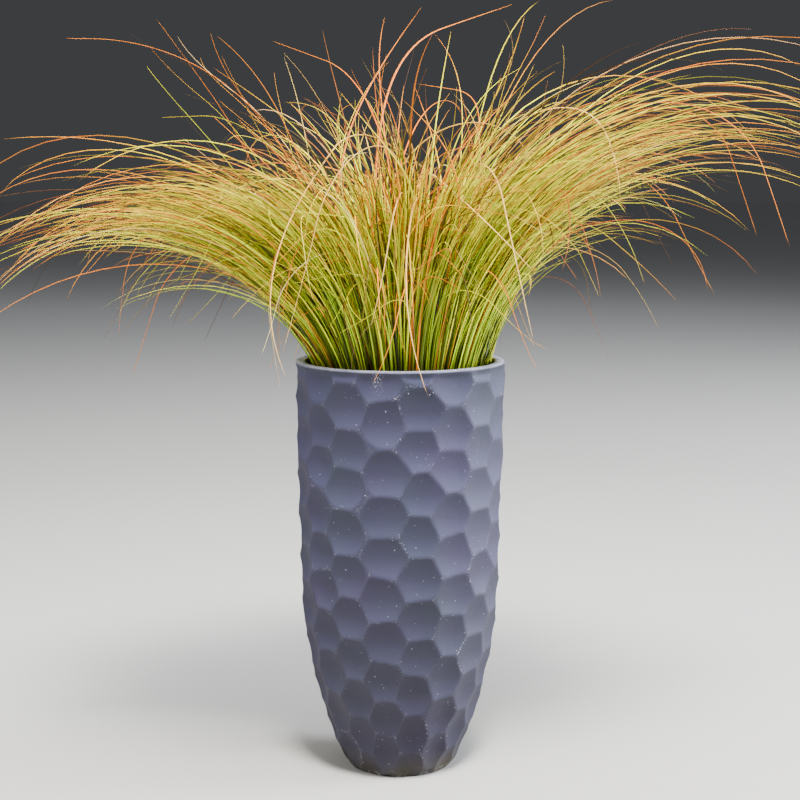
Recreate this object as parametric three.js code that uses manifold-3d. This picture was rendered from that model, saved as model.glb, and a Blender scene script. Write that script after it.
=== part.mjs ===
// A potted orange sedge: an arching tussock of narrow keeled blades, grown from one crown that is
// made of eight tufts, in a tall round planter with a dimpled, honeycomb-like wall.
// Millimetres, +Z up. The origin is the centre of the planter's foot. -Y is the front, and the
// two heavy lobes of the foliage fall to the left (-X) and to the right (+X).
import * as THREE from 'three';
import { mergeVertices } from 'three/addons/utils/BufferGeometryUtils.js';
import Module from 'manifold-3d';

const wasm = await Module();
wasm.setup();

// Driving dimensions of the planter
const HEIGHT = 597;
const RIM_RADIUS = 152;
const WALL_TAPER = 0.0175; // millimetres of radius lost per millimetre below the rim
const FOOT_TUCK = 61.5; // how far the rounded lower wall draws in at the foot
const TUCK_HEIGHT = 340; // where that rounding ends and the straight wall starts
const TUCK_POWER = 2.6;
const WALL = 16;
const FLOOR = 22;
const RIM_ROUND = 3; // size of the worn edge round the rim
const DRAIN = { count: 3, radius: 8, circle: 42 };
const PLANTER_SIDES = 24;

// Driving dimensions of the dimples
const DIMPLE = {
  columns: 18, // cells round the wall
  pitch: 60, // height of one cell
  start: 9, // height of the middle of the lowest cells in the even columns
  lastRow: 10,
  wander: 13, // how far a cell's middle may lie off its place
  depth: 6.8,
  reach: 35, // distance from a cell's middle at which the dimple runs out
  fade: 14, // height below the rim and above the foot over which the dimples fade in
  seed: 41,
};

// Driving dimensions of the soil and the crown
const FIT_GAP = 0.3; // clearance between pieces that touch
const SOIL_LEVEL = 574;
const CROWN = { x: 5, radius: 107, top: 592, edge: 578, bottom: 548 };

// Driving dimensions of the blades
const BLADE = {
  width: 2.6,
  keel: 1.2, // depth of the ridge under a blade
  sunk: 9, // how deep a blade's root stands in the crown
  apart: 1.1, // least clear space between two blades of a tuft
  steps: 20, // steps of the growth curve
  longRings: [0, 5, 10, 14, 17, 20], // the steps that a long blade's solid keeps
  shortRings: [0, 6, 12, 17, 20],
  short: 480,
};
const TRIES = 40; // how often a blade that doesn't fit is drawn again
const RIM_CLEARANCE = 4;
const HANG = 200; // how far below the soil a blade outside the planter may hang
const GROWTH_SEED = 7;
const STRAY = { share: 0.05, longer: 1.2, upright: 0.5, veering: 2 };

// How the blades grow towards each side, at the middle of the crown and at its edge: lean from the
// vertical at the root and angle from the vertical at the tip, in degrees, and length. A bend above
// 1 comes late.
const SIDES = [
  { leanIn: 14, leanEdge: 17, tipIn: 127, tipEdge: 106, longIn: 840, longEdge: 600, bend: 1.3 }, // right
  { leanIn: 12, leanEdge: 32, tipIn: 116, tipEdge: 100, longIn: 480, longEdge: 400, bend: 1.3 }, // back
  { leanIn: 17, leanEdge: 27, tipIn: 148, tipEdge: 114, longIn: 720, longEdge: 570, bend: 1.05 }, // left
  { leanIn: 4, leanEdge: 15, tipIn: 55, tipEdge: 66, longIn: 370, longEdge: 300, bend: 1.5 }, // front
];

// The tufts, each with the direction that it faces, in degrees from +X towards +Y
const TUFTS = [
  { name: 'tuft_right', facing: 0, blades: 57 },
  { name: 'tuft_back_right', facing: 45, blades: 46 },
  { name: 'tuft_back', facing: 90, blades: 36 },
  { name: 'tuft_back_left', facing: 135, blades: 46 },
  { name: 'tuft_left', facing: 180, blades: 57 },
  { name: 'tuft_front_left', facing: 225, blades: 51 },
  { name: 'tuft_front', facing: 270, blades: 40 },
  { name: 'tuft_front_right', facing: 315, blades: 51 },
];
// Long blades that stand out above the rest, each with the place and the habit that it grows by
const LONG_BLADES = [
  { tuft: 'tuft_back_right', facing: 62, root: 48, radius: 95, lean: 13, tip: 67, length: 650, bend: 2.8, veer: -10 },
  { tuft: 'tuft_back_right', facing: 46, root: 43, radius: 65, lean: 15, tip: 82, length: 745, bend: 2, veer: 0 },
  { tuft: 'tuft_right', facing: 13, root: 16, radius: 66, lean: 12, tip: 108, length: 855, bend: 1.3, veer: 22 },
  { tuft: 'tuft_front_left', facing: 214, root: 216, radius: 64, lean: 8, tip: 97, length: 655, bend: 0.8, veer: -26 },
  { tuft: 'tuft_left', facing: 180, root: 183, radius: 48, lean: 22, tip: 127, length: 745, bend: 1.3, veer: -37 },
];
const HALF_SECTOR = 22.5;
const SECTOR_GAP = 1.6; // clear space between the crown wedges of two tufts

const rad = THREE.MathUtils.degToRad;

// Seeded random numbers, the same in every run
class Draws {
  constructor(seed) {
    this.state = seed;
    for (let i = 0; i < 4; i++) this.next();
  }

  next() {
    this.state = (this.state * 1664525 + 1013904223) % 4294967296;
    return this.state / 4294967296;
  }

  between(low, high) {
    return low + (high - low) * this.next();
  }

  // A value near the middle, seldom as far off as the spread
  near(middle, spread) {
    return middle + (spread * (this.next() + this.next() + this.next() - 1.5)) / 1.5;
  }
}

// Solids and geometries
function solidOf(geometry) {
  const bare = geometry.clone();
  bare.deleteAttribute('normal');
  bare.deleteAttribute('uv');
  const merged = mergeVertices(bare, 1e-4);
  return new wasm.Manifold(new wasm.Mesh({
    numProp: 3,
    vertProperties: merged.attributes.position.array,
    triVerts: new Uint32Array(merged.index.array),
  }));
}

function geometryOf(solid) {
  const mesh = solid.getMesh();
  const geometry = new THREE.BufferGeometry();
  geometry.setAttribute('position', new THREE.BufferAttribute(new Float32Array(mesh.vertProperties), 3));
  geometry.setIndex(new THREE.BufferAttribute(new Uint32Array(mesh.triVerts), 1));
  geometry.computeVertexNormals();
  return geometry;
}

function geometryOfTriangles(triangles) {
  const geometry = new THREE.BufferGeometry();
  const numbers = triangles.flat().flatMap((p) => [p.x, p.y, p.z]);
  return geometry.setAttribute('position', new THREE.Float32BufferAttribute(numbers, 3));
}

// A solid of revolution about +Z from [radius, height] pairs that start and end on the axis
function turned(profile, sides) {
  const points = profile.map(([radius, z]) => new THREE.Vector2(radius, z));
  return solidOf(new THREE.LatheGeometry(points, sides).rotateX(Math.PI / 2));
}

function plainMaterial(colour, roughness) {
  return new THREE.MeshStandardMaterial({ color: colour, roughness, metalness: 0, flatShading: true });
}

// Planter: outer wall
function outerRadius(z) {
  const tuck = Math.max(0, 1 - z / TUCK_HEIGHT) ** TUCK_POWER;
  return RIM_RADIUS - WALL_TAPER * (HEIGHT - z) - FOOT_TUCK * tuck;
}

// The cells' middles on the unrolled wall: across is measured round the rim, up is the height
const AROUND = 2 * Math.PI * RIM_RADIUS;
const COLUMN = AROUND / DIMPLE.columns;

function cellMiddles() {
  const draws = new Draws(DIMPLE.seed);
  const middles = new Map();
  for (let row = -2; row <= DIMPLE.lastRow + 1; row++) {
    for (let column = 0; column < DIMPLE.columns; column++) {
      const across = column * COLUMN + draws.near(0, DIMPLE.wander);
      const stagger = column % 2 ? 0.5 : 0;
      const up = DIMPLE.start + (row + stagger) * DIMPLE.pitch + draws.near(0, DIMPLE.wander);
      middles.set(`${column},${row}`, { across, up });
    }
  }
  return middles;
}

const MIDDLES = cellMiddles();

// The middle of a cell, with a column past either end of the wall unrolled one more time
function middleOf(column, row) {
  const turns = Math.floor(column / DIMPLE.columns);
  const { across, up } = MIDDLES.get(`${column - turns * DIMPLE.columns},${row}`);
  return { across: across + turns * AROUND, up };
}

// The corner where three cells meet is as far from one middle as from the others
function cornerOf(a, b, c) {
  const square = (p) => p.across ** 2 + p.up ** 2;
  const twice = 2 * (a.across * (b.up - c.up) + b.across * (c.up - a.up) + c.across * (a.up - b.up));
  const across = square(a) * (b.up - c.up) + square(b) * (c.up - a.up) + square(c) * (a.up - b.up);
  const up = square(a) * (c.across - b.across) + square(b) * (a.across - c.across)
    + square(c) * (b.across - a.across);
  return { across: across / twice, up: up / twice };
}

// How far the wall is pressed in at a point that is this far from the nearest cell's middle
function dimpleDepth(distance, z) {
  const bowl = Math.max(0, 1 - (distance / DIMPLE.reach) ** 2);
  const fade = THREE.MathUtils.clamp(Math.min(HEIGHT - z, z + DIMPLE.fade / 2) / DIMPLE.fade, 0, 1);
  return DIMPLE.depth * bowl * fade;
}

function wallPoint({ across, up }, distance) {
  const angle = (across / AROUND) * 2 * Math.PI;
  const radius = outerRadius(up) - dimpleDepth(distance, up);
  return new THREE.Vector3(radius * Math.cos(angle), radius * Math.sin(angle), up);
}

function distanceBetween(a, b) {
  return Math.hypot(a.across - b.across, a.up - b.up);
}

// A cell's fan: its middle, its six corners and the middles of its six edges
function cellTriangles(column, row) {
  const odd = Math.abs(column % 2);
  const above = odd ? row + 1 : row; // the row of the upper cell in the columns on both sides
  const middle = middleOf(column, row);
  const ring = [
    middleOf(column, row + 1),
    middleOf(column - 1, above),
    middleOf(column - 1, above - 1),
    middleOf(column, row - 1),
    middleOf(column + 1, above - 1),
    middleOf(column + 1, above),
  ];
  const corners = ring.map((near, i) => cornerOf(middle, near, ring[(i + 1) % 6]));
  const rim = corners.flatMap((corner, i) => {
    const next = corners[(i + 1) % 6];
    const between = { across: (corner.across + next.across) / 2, up: (corner.up + next.up) / 2 };
    return [corner, between];
  });
  const bottom = wallPoint(middle, 0);
  const points = rim.map((p) => wallPoint(p, distanceBetween(p, middle)));
  return points.map((p, i) => [bottom, p, points[(i + 1) % points.length]]);
}

// Closes the top and the bottom of an open round wall with a fan to a point on the axis
function capped(triangles) {
  const key = (p) => `${p.x.toFixed(3)},${p.y.toFixed(3)},${p.z.toFixed(3)}`;
  const edges = new Map();
  triangles.forEach((t) => t.forEach((p, i) => {
    const q = t[(i + 1) % 3];
    edges.set(`${key(p)}|${key(q)}`, [p, q]);
  }));
  const open = [...edges.values()].filter(([p, q]) => !edges.has(`${key(q)}|${key(p)}`));
  const heights = triangles.flat().map((p) => p.z);
  const low = new THREE.Vector3(0, 0, Math.min(...heights));
  const high = new THREE.Vector3(0, 0, Math.max(...heights));
  return [...triangles, ...open.map(([p, q]) => [q, p, p.z > HEIGHT / 2 ? high : low])];
}

// The even columns have a cell at either end of the wall, and the odd ones lie half a cell lower
function dimpledBody() {
  const cells = [];
  for (let column = 0; column < DIMPLE.columns; column++) {
    const lower = column % 2;
    for (let row = -lower; row <= DIMPLE.lastRow - lower; row++) cells.push(...cellTriangles(column, row));
  }
  return solidOf(geometryOfTriangles(capped(cells)));
}

// Planter: its hollow is a wall's thickness inside the outer wall at these heights
const HOLLOW_HEIGHTS = [FLOOR, 80, 160, 270, HEIGHT];

function hollowRadius(z) {
  const above = Math.max(1, HOLLOW_HEIGHTS.findIndex((height) => height >= z));
  const [low, high] = [HOLLOW_HEIGHTS[above - 1], HOLLOW_HEIGHTS[above]];
  const share = (z - low) / (high - low);
  return THREE.MathUtils.lerp(outerRadius(low), outerRadius(high), share) - WALL;
}

function makePlanter() {
  const clear = RIM_RADIUS + 20;
  const envelope = turned([
    [0, 0],
    [outerRadius(0) - 3, 0],
    [clear, clear - outerRadius(0) + 3],
    [clear, HEIGHT - clear + RIM_RADIUS - RIM_ROUND],
    [RIM_RADIUS - RIM_ROUND, HEIGHT],
    [0, HEIGHT],
  ], PLANTER_SIDES);
  const wall = HOLLOW_HEIGHTS.map((z) => [hollowRadius(z), z]);
  const mouth = hollowRadius(HEIGHT) + RIM_ROUND / 2;
  wall.splice(-1, 1, [hollowRadius(HEIGHT - RIM_ROUND), HEIGHT - RIM_ROUND], [mouth, HEIGHT + 1]);
  const hollow = turned([[0, FLOOR], ...wall, [0, HEIGHT + 1]], PLANTER_SIDES);
  let solid = dimpledBody().intersect(envelope).subtract(hollow);
  for (let i = 0; i < DRAIN.count; i++) {
    const angle = Math.PI / 2 + (i * 2 * Math.PI) / DRAIN.count;
    const drill = new THREE.CylinderGeometry(DRAIN.radius, DRAIN.radius, 3 * FLOOR, 16)
      .rotateX(Math.PI / 2)
      .translate(DRAIN.circle * Math.cos(angle), DRAIN.circle * Math.sin(angle), FLOOR / 2);
    solid = solid.subtract(solidOf(drill));
  }
  return solid;
}

// Soil: fills the hollow to below the rim, with a plain round hole that the crown stands in
function soilRise(x, y) {
  const lumps = Math.sin(x / 17) * Math.cos(y / 13) + 0.6 * Math.sin((x + y) / 9);
  return 1.5 * lumps;
}

function makeSoil() {
  const gap = FIT_GAP / Math.cos(Math.PI / PLANTER_SIDES);
  const top = hollowRadius(SOIL_LEVEL - 4) - gap;
  const wall = HOLLOW_HEIGHTS.slice(0, -1).map((z) => [hollowRadius(z) - gap, z]);
  wall[0][1] += FIT_GAP;
  const profile = [
    [0, FLOOR + FIT_GAP],
    ...wall,
    [top, SOIL_LEVEL - 4],
    [top - 9, SOIL_LEVEL],
    [top - 50, SOIL_LEVEL + 2],
    [0, SOIL_LEVEL + 2],
  ];
  const points = profile.map(([radius, z]) => new THREE.Vector2(radius, z));
  const geometry = new THREE.LatheGeometry(points, PLANTER_SIDES).rotateX(Math.PI / 2);
  const place = geometry.attributes.position;
  for (let i = 0; i < place.count; i++) {
    const [x, y, z] = [place.getX(i), place.getY(i), place.getZ(i)];
    const open = Math.hypot(x, y) < top - 1 && z > SOIL_LEVEL - 1;
    if (open) place.setZ(i, z + soilRise(x, y));
  }
  const depth = SOIL_LEVEL + 20 - CROWN.bottom;
  const hole = new THREE.CylinderGeometry(CROWN.radius + 6, CROWN.radius + 6, depth, PLANTER_SIDES)
    .rotateX(Math.PI / 2)
    .translate(CROWN.x, 0, CROWN.bottom + depth / 2);
  return solidOf(geometry).subtract(solidOf(hole));
}

// Growth: the blend between the two sides that a direction lies between
function sideAt(facing) {
  const turn = ((facing % 360) + 360) % 360;
  const quarter = Math.floor(turn / 90);
  const share = Math.sin(rad(turn - quarter * 90)) ** 2;
  const [a, b] = [SIDES[quarter], SIDES[(quarter + 1) % 4]];
  return Object.fromEntries(Object.keys(a).map((k) => [k, a[k] * (1 - share) + b[k] * share]));
}

// The numbers that settle one blade
function drawHabit(draws, tuft) {
  const facing = tuft.facing + draws.between(-HALF_SECTOR, HALF_SECTOR);
  const side = sideAt(facing);
  const share = Math.sqrt(draws.next());
  const settled = (inner, outer) => inner + (outer - inner) * share ** 1.5;
  const habit = {
    facing,
    rootAngle: rad(facing + draws.near(0, 16)),
    rootRadius: CROWN.radius * share,
    lean: settled(side.leanIn, side.leanEdge) + draws.near(0, 8),
    tip: settled(side.tipIn, side.tipEdge) + draws.near(0, 16),
    grown: 1 + draws.near(0, 0.28), // a blade that has grown less bends less
    bend: side.bend * (1 + draws.near(0, 0.25)),
    veer: draws.near(0, 36),
  };
  habit.length = settled(side.longIn, side.longEdge) * habit.grown;
  if (draws.next() < STRAY.share) {
    habit.length *= STRAY.longer;
    habit.lean *= STRAY.upright;
    habit.veer *= STRAY.veering;
  }
  return habit;
}

// The line that a blade grows along, from the crown's surface to its tip
function growthLine(habit) {
  const share = habit.rootRadius / CROWN.radius;
  const point = new THREE.Vector3(
    CROWN.x + habit.rootRadius * Math.cos(habit.rootAngle),
    habit.rootRadius * Math.sin(habit.rootAngle),
    CROWN.top + (CROWN.edge - CROWN.top) * share,
  );
  const step = habit.length / BLADE.steps;
  const lean = Math.max(habit.lean, 0);
  const bow = (habit.tip - lean) * habit.grown;
  const line = [point.clone()];
  for (let i = 0; i < BLADE.steps; i++) {
    const along = (i + 0.5) / BLADE.steps;
    const fall = rad(lean + bow * along ** habit.bend);
    const heading = rad(habit.facing + habit.veer * along * along);
    point.x += step * Math.sin(fall) * Math.cos(heading);
    point.y += step * Math.sin(fall) * Math.sin(heading);
    point.z += step * Math.cos(fall);
    line.push(point.clone());
  }
  return line;
}

// A blade stays between its tuft's two sides, and passes over the planter's rim or hangs outside it
function staysInTuft(line, tuft) {
  return [-1, 1].every((hand) => {
    const angle = rad(tuft.facing + hand * HALF_SECTOR);
    const inward = new THREE.Vector3(hand * Math.sin(angle), -hand * Math.cos(angle), 0);
    return line.every((p) => (p.x - CROWN.x) * inward.x + p.y * inward.y > SECTOR_GAP + BLADE.width / 2);
  });
}

function clearsPlanter(line) {
  const [inner, outer] = [RIM_RADIUS - WALL - RIM_CLEARANCE, RIM_RADIUS + RIM_CLEARANCE];
  return line.slice(1).every((p, i) => [0, 0.25, 0.5, 0.75, 1].every((share) => {
    const between = line[i].clone().lerp(p, share);
    const radius = Math.hypot(between.x, between.y);
    const outside = radius > outer && between.z > SOIL_LEVEL - HANG;
    return between.z > HEIGHT + RIM_CLEARANCE || radius < inner || outside;
  }));
}

// The least distance between two straight stretches
function gapBetween(a, b, c, d) {
  const ab = new THREE.Vector3().subVectors(b, a);
  const cd = new THREE.Vector3().subVectors(d, c);
  const ca = new THREE.Vector3().subVectors(a, c);
  const [aa, cc, ac] = [ab.dot(ab), cd.dot(cd), ab.dot(cd)];
  const [pa, pc] = [ab.dot(ca), cd.dot(ca)];
  const spread = aa * cc - ac * ac;
  const clamp = THREE.MathUtils.clamp;
  let s = spread > 1e-9 ? clamp((ac * pc - cc * pa) / spread, 0, 1) : 0;
  const t = clamp((ac * s + pc) / cc, 0, 1);
  s = clamp((ac * t - pa) / aa, 0, 1);
  return ca.addScaledVector(ab, s).addScaledVector(cd, -t).length();
}

function clearOf(ring, others) {
  const least = BLADE.width + BLADE.apart;
  return others.every((other) => {
    for (let i = 1; i < ring.length; i++) {
      for (let j = 1; j < other.length; j++) {
        if (gapBetween(ring[i - 1], ring[i], other[j - 1], other[j]) < least) return false;
      }
    }
    return true;
  });
}

// The tuft's blades: each draw that would cross an earlier blade or leave the tuft is drawn again
function growTuft(draws, tuft) {
  const grown = [];
  for (let i = 0; i < tuft.blades; i++) {
    for (let attempt = 0; attempt < TRIES; attempt++) {
      const habit = drawHabit(draws, tuft);
      const line = growthLine(habit);
      const rings = habit.length < BLADE.short ? BLADE.shortRings : BLADE.longRings;
      const stations = rings.map((k) => line[k]);
      const fits = staysInTuft(line, tuft) && clearsPlanter(line)
        && clearOf(stations, grown.map((g) => g.stations));
      if (fits) {
        grown.push({ habit, rings, stations });
        break;
      }
    }
  }
  const rings = BLADE.longRings;
  for (const { root, radius, ...numbers } of LONG_BLADES.filter((blade) => blade.tuft === tuft.name)) {
    const habit = { ...numbers, grown: 1, rootAngle: rad(root), rootRadius: radius };
    const line = growthLine(habit);
    grown.push({ habit, rings, stations: rings.map((k) => line[k]) });
  }
  return grown;
}

// A blade's width at a share of its length, as a share of the full width
function taper(along) {
  return (1 - along ** 4) ** 0.75;
}

// One blade: three edges, flat above and keeled below, from its sunk root to its point
function bladeSolid({ habit, rings: steps, stations }) {
  const across = new THREE.Vector3(-Math.sin(rad(habit.facing)), Math.cos(rad(habit.facing)), 0);
  const first = new THREE.Vector3().subVectors(stations[1], stations[0]).normalize();
  const rings = stations.slice(0, -1).map((centre, i) => {
    const before = stations[Math.max(i - 1, 0)];
    const along = new THREE.Vector3().subVectors(stations[i + 1], before).normalize();
    const under = new THREE.Vector3().crossVectors(across, along).normalize();
    const middle = centre.clone().addScaledVector(first, i === 0 ? -BLADE.sunk : 0);
    const share = taper(steps[i] / BLADE.steps);
    return [
      middle.clone().addScaledVector(across, (BLADE.width * share) / 2),
      middle.clone().addScaledVector(across, (-BLADE.width * share) / 2),
      middle.clone().addScaledVector(under, BLADE.keel * Math.max(share, 0.6)),
    ];
  });
  const triangles = [[rings[0][0], rings[0][2], rings[0][1]]];
  for (let i = 1; i < rings.length; i++) {
    for (let side = 0; side < 3; side++) {
      const next = (side + 1) % 3;
      const [a, b, c, d] = [rings[i - 1][side], rings[i - 1][next], rings[i][side], rings[i][next]];
      triangles.push([a, b, d], [a, d, c]);
    }
  }
  const last = rings[rings.length - 1];
  const tip = stations[stations.length - 1];
  for (let side = 0; side < 3; side++) triangles.push([last[side], last[(side + 1) % 3], tip]);
  return solidOf(geometryOfTriangles(triangles));
}

// The crown: a low dome of old leaf bases, parted into one wedge for each tuft
const CROWN_DOME = turned([
  [0, CROWN.bottom + FIT_GAP],
  [CROWN.radius + 4, CROWN.bottom + FIT_GAP],
  [CROWN.radius + 4, CROWN.edge],
  [0, CROWN.top + 2],
], 2 * TUFTS.length).translate([CROWN.x, 0, 0]);

function crownWedge(tuft) {
  const reach = 2 * CROWN.radius;
  const angles = [-1, 1].map((hand) => rad(hand * HALF_SECTOR));
  const outline = new THREE.Shape([
    new THREE.Vector2(0, 0),
    ...angles.map((angle) => new THREE.Vector2(reach * Math.cos(angle), reach * Math.sin(angle))),
  ]);
  const apart = SECTOR_GAP / 2 / Math.sin(rad(HALF_SECTOR));
  const wedge = new THREE.ExtrudeGeometry(outline, { depth: reach, bevelEnabled: false })
    .translate(apart, 0, CROWN.bottom - reach / 4)
    .rotateZ(rad(tuft.facing))
    .translate(CROWN.x, 0, 0);
  return CROWN_DOME.intersect(solidOf(wedge));
}

function makeTuft(draws, tuft) {
  return growTuft(draws, tuft).reduce((solid, blade) => solid.add(bladeSolid(blade)), crownWedge(tuft));
}

// Assembly
const sedge = new THREE.Group();

function addPiece(name, solid, material) {
  const mesh = new THREE.Mesh(geometryOf(solid), material);
  mesh.name = name;
  sedge.add(mesh);
}

addPiece('planter', makePlanter(), plainMaterial(0x55586b, 0.75));
addPiece('soil', makeSoil(), plainMaterial(0x2e231a, 1));
const growth = new Draws(GROWTH_SEED);
const bladeMaterial = plainMaterial(0xa39a35, 0.5);
for (const tuft of TUFTS) addPiece(tuft.name, makeTuft(growth, tuft), bladeMaterial);

export default sedge;
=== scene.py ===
"""The potted orange sedge, dressed: a dimpled planter of fibre clay, its soil, and a tussock of several
thousand arching leaves that grow by the same law as the solids that they stand for."""
import math

import bpy
import numpy as np
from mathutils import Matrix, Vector, noise
from mathutils.geometry import delaunay_2d_cdt


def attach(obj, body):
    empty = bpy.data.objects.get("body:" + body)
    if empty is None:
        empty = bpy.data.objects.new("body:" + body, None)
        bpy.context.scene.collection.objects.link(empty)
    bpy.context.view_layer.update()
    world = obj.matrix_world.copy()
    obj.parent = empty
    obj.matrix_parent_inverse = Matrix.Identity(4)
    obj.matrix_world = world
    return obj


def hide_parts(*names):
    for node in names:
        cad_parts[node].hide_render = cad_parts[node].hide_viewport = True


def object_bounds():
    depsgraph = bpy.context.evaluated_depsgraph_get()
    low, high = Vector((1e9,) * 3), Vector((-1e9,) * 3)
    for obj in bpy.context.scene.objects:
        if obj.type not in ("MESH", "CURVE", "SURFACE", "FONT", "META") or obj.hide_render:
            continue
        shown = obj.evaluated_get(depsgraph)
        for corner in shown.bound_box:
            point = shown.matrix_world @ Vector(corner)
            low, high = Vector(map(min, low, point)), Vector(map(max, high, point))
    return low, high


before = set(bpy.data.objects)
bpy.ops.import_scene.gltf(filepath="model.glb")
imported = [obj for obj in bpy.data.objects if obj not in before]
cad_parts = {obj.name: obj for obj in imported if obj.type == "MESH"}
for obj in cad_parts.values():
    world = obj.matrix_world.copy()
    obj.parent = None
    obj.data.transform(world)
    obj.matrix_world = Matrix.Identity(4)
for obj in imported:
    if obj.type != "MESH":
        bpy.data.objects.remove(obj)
cad_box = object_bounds()

# Lengths below are in millimetres, as the solids' are, and become metres when a mesh is made
MM = 0.001

# Planter
HEIGHT = 597
RIM_RADIUS = 152
AROUND = 2 * math.pi * RIM_RADIUS
WALL_TAPER = 0.0175
FOOT_TUCK = 61.5
TUCK_HEIGHT = 340
TUCK_POWER = 2.6
WALL = 16
FLOOR = 22
RIM_ROUND = 2.2
FOOT_ROUND = 3
DRAIN_COUNT, DRAIN_RADIUS, DRAIN_CIRCLE = 3, 8, 42
DRAIN_SIDES = 24
HOLLOW_HEIGHTS = (FLOOR, 80, 160, 270, HEIGHT)
PLANTER_COLUMNS = 360
PLANTER_ROWS = 214
RIM_ARC_STEPS = 5
INSIDE_HEIGHTS = (588, 575, 540, 400, 270, 160, 80, FLOOR)
RIM_SOFTNESS, FOOT_SOFTNESS = 1.2, 1.0  # millimetres over which the rim's and the foot's bevels are rounded

# Dimples
CELL_COLUMNS = 18
CELL_PITCH = 60
CELL_START = 9
CELL_LAST_ROW = 10
CELL_WANDER = 13
CELL_DEPTH = 6.8
CELL_REACH = 35
CELL_FADE = 9
CELL_SEED = 41
RIDGE_SOFTNESS = 70  # square millimetres over which a ridge between two dimples is rounded
RIDGE_REACH, CORNER_REACH = 3.5, 4  # millimetres over which the marks on ridges and corners fade

# Chalky marks: where three dimples meet, and one splash on the front below the rim
CORNER_CHALK = 0.32
SPLASH_ANGLE, SPLASH_HEIGHT = 1.5 * math.pi - 0.21, 584
SPLASH_WIDTH, SPLASH_REACH = 6, 11

# Painted light and shade, with dust, on the dimples: how strongly a slope shows it; and the heights up to
# which the foot's grime and the lower wall's darkening, damp with painted shade, reach
SLOPE_DUST_AND_SHADING_CONTRAST = 3
GRIME_HEIGHT, DAMP_AND_SHADE_HEIGHT, DAMP_AND_SHADE_SHARE = 45, 450, 0.8
INSIDE_WEAR_HEIGHT, INSIDE_WEAR = 8, 0.15

# Soil and crown
FIT_GAP = 0.3
SOIL_LEVEL = 574
CROWN_X, CROWN_RADIUS = 5, 107
CROWN_TOP, CROWN_EDGE, CROWN_BOTTOM = 592, 578, 548
CROWN_HOLE = CROWN_RADIUS + 6
CROWN_SPOKES, CROWN_RINGS = 14, 12
SOIL_COLUMNS, SOIL_RINGS = 240, 18
SOIL_WALL_HEIGHTS = (80, 160, 270, 500, SOIL_LEVEL - 4)
CRUMB_SEED, CRUMBS = 77, 900

# Leaves: the numbers of the solids' growth law
BLADE_WIDTH, BLADE_KEEL, BLADE_SUNK, BLADE_APART = 2.6, 1.2, 9, 1.1
STEPS = 20
LONG_RINGS = (0, 5, 10, 14, 17, 20)
SHORT_RINGS = (0, 6, 12, 17, 20)
SHORT = 480
TRIES = 40
RIM_CLEARANCE = 4
HANG = 200
GROWTH_SEED = 7
STRAY_SHARE, STRAY_LONGER, STRAY_UPRIGHT, STRAY_VEERING = 0.05, 1.2, 0.5, 2
HALF_SECTOR = 22.5
SECTOR_GAP = 1.6
ROOT_SPREAD, LEAN_SPREAD, TIP_SPREAD, VEER_SPREAD = 16, 8, 16, 36
GROWN_SPREAD, BEND_SPREAD = 0.28, 0.25
EDGE_POWER = 1.5  # how late a side's numbers turn into those of the crown's edge

# Right, back, left and front: lean at the middle and the edge of the crown, angle at the tip,
# length, and how late the bend comes
SIDES = (
    dict(lean_in=14, lean_edge=17, tip_in=127, tip_edge=106, long_in=840, long_edge=600, bend=1.3),
    dict(lean_in=12, lean_edge=32, tip_in=116, tip_edge=100, long_in=480, long_edge=400, bend=1.3),
    dict(lean_in=17, lean_edge=27, tip_in=148, tip_edge=114, long_in=720, long_edge=570, bend=1.05),
    dict(lean_in=4, lean_edge=15, tip_in=55, tip_edge=66, long_in=370, long_edge=300, bend=1.5),
)

# Each tuft: where it faces, how many blades its solid has, how many leaves are added to it, which
# share of them goes its own way, and how long the rest are beside the solid's blades
TUFTS = (
    dict(name="tuft_right", facing=0, blades=57, more=500, wild=0.03, trim=0.74),
    dict(name="tuft_back_right", facing=45, blades=46, more=460, wild=0.08, trim=0.84),
    dict(name="tuft_back", facing=90, blades=36, more=420, wild=0.27, trim=1.18),
    dict(name="tuft_back_left", facing=135, blades=46, more=460, wild=0.17, trim=0.9),
    dict(name="tuft_left", facing=180, blades=57, more=500, wild=0.07, trim=0.78),
    dict(name="tuft_front_left", facing=225, blades=51, more=620, wild=0.1, trim=0.9),
    dict(name="tuft_front", facing=270, blades=40, more=560, wild=0.18, trim=1.12),
    dict(name="tuft_front_right", facing=315, blades=51, more=620, wild=0.1, trim=0.9),
)

# Long blades that stand out above the rest, as in the solids: the tuft, and then the habit
LONG_KEYS = ("tuft", "facing", "root_angle", "root_radius", "lean", "tip", "length", "bend", "veer")
LONG_BLADES = (
    ("tuft_back_right", 62, 48, 95, 13, 67, 650, 2.8, -10),
    ("tuft_back_right", 46, 43, 65, 15, 82, 745, 2, 0),
    ("tuft_right", 13, 16, 66, 12, 108, 855, 1.3, 22),
    ("tuft_front_left", 214, 216, 64, 8, 97, 655, 0.8, -26),
    ("tuft_left", 180, 183, 48, 22, 127, 745, 1.3, -37),
)

# Added leaves: what the leaves of a lock share as offsets from the law, each a middle and a spread
MORE_SEED = 23
LOCK_LEAN, LOCK_TIP, LOCK_VEER = (-4, 6), (-2, 18), (0, 28)
LOCK_BEND, LOCK_WARMTH = (1, 0.18), (0, 0.22)
# How much lighter or darker a lock's leaves are, at random: partly their own tone, partly painted shade and
# painted highlight
LOCK_SHADE = (0.55, 1.4)
LOCK_LEAST, LOCK_SPAN, LOCK_POWER = 0.34, 0.68, 1.5  # how long they are beside the blades
LOCK_FEWEST, LOCK_MORE = 3, 9
LOCK_CEILING = 1040

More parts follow.
